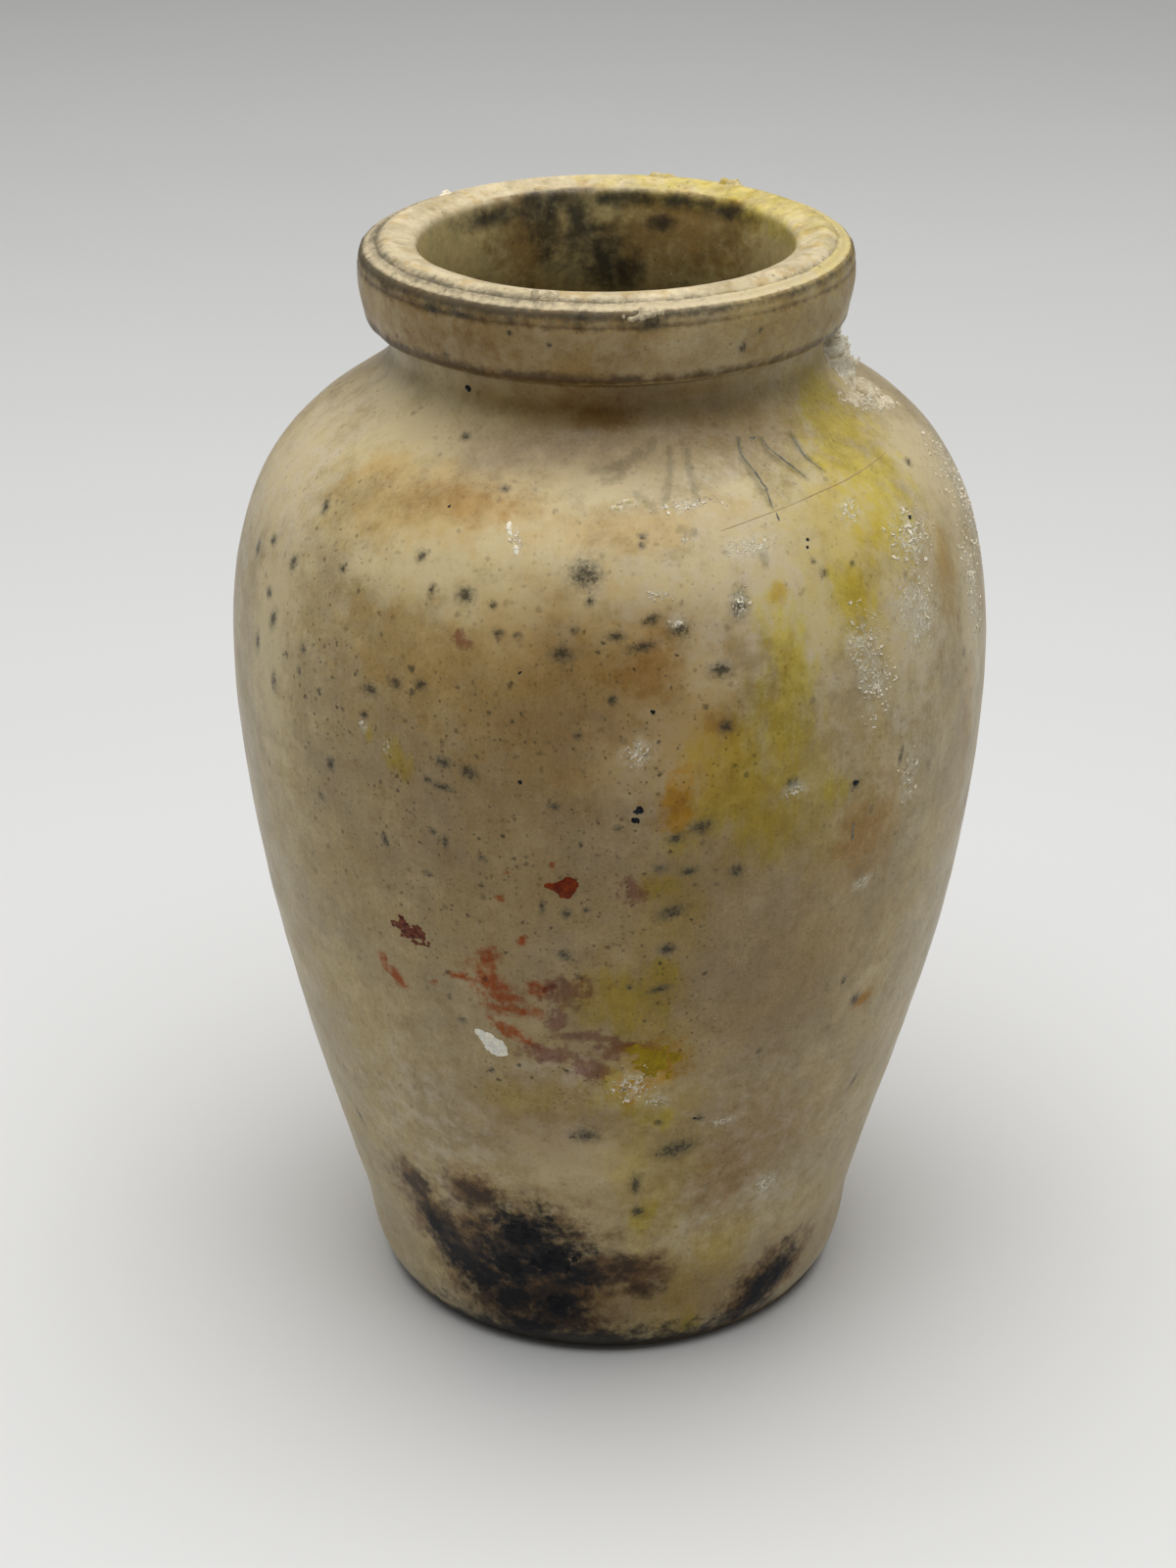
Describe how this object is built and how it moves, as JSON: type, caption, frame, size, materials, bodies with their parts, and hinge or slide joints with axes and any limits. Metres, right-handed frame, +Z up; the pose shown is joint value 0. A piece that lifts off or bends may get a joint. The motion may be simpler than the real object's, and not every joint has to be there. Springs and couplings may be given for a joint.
{
  "type": "stoneware pot",
  "caption": "Round-shouldered stoneware jar on a narrow foot, with a heavy banded collar, a raised lip and an open mouth, glazed inside and out and crusted with dried plaster and paint.",
  "frame": {"origin": "middle of the flat base, on the surface that the pot stands on", "axes": "+Z up along the pot's turning axis; -Y is the side that the picture shows, with +X to its right"},
  "size_m": [0.09, 0.09, 0.1349],
  "materials": {
    "clay": "matte",
    "body_glaze": "satin",
    "rim_glaze": "satin",
    "lining_glaze": "satin",
    "plaster": "matte",
    "paint": "matte"
  },
  "bodies": {
    "root": {"thrown_body": "clay", "rim_collar": "clay", "outer_glaze": "body_glaze", "collar_glaze": "rim_glaze", "inner_glaze": "lining_glaze", "plaster_crust": "plaster", "rim_crumb_back": "paint", "rim_crumb_right": "paint", "rim_dab_left": "plaster", "lip_flake_front": "plaster", "collar_flake_front": "plaster"}
  },
  "joints": []
}
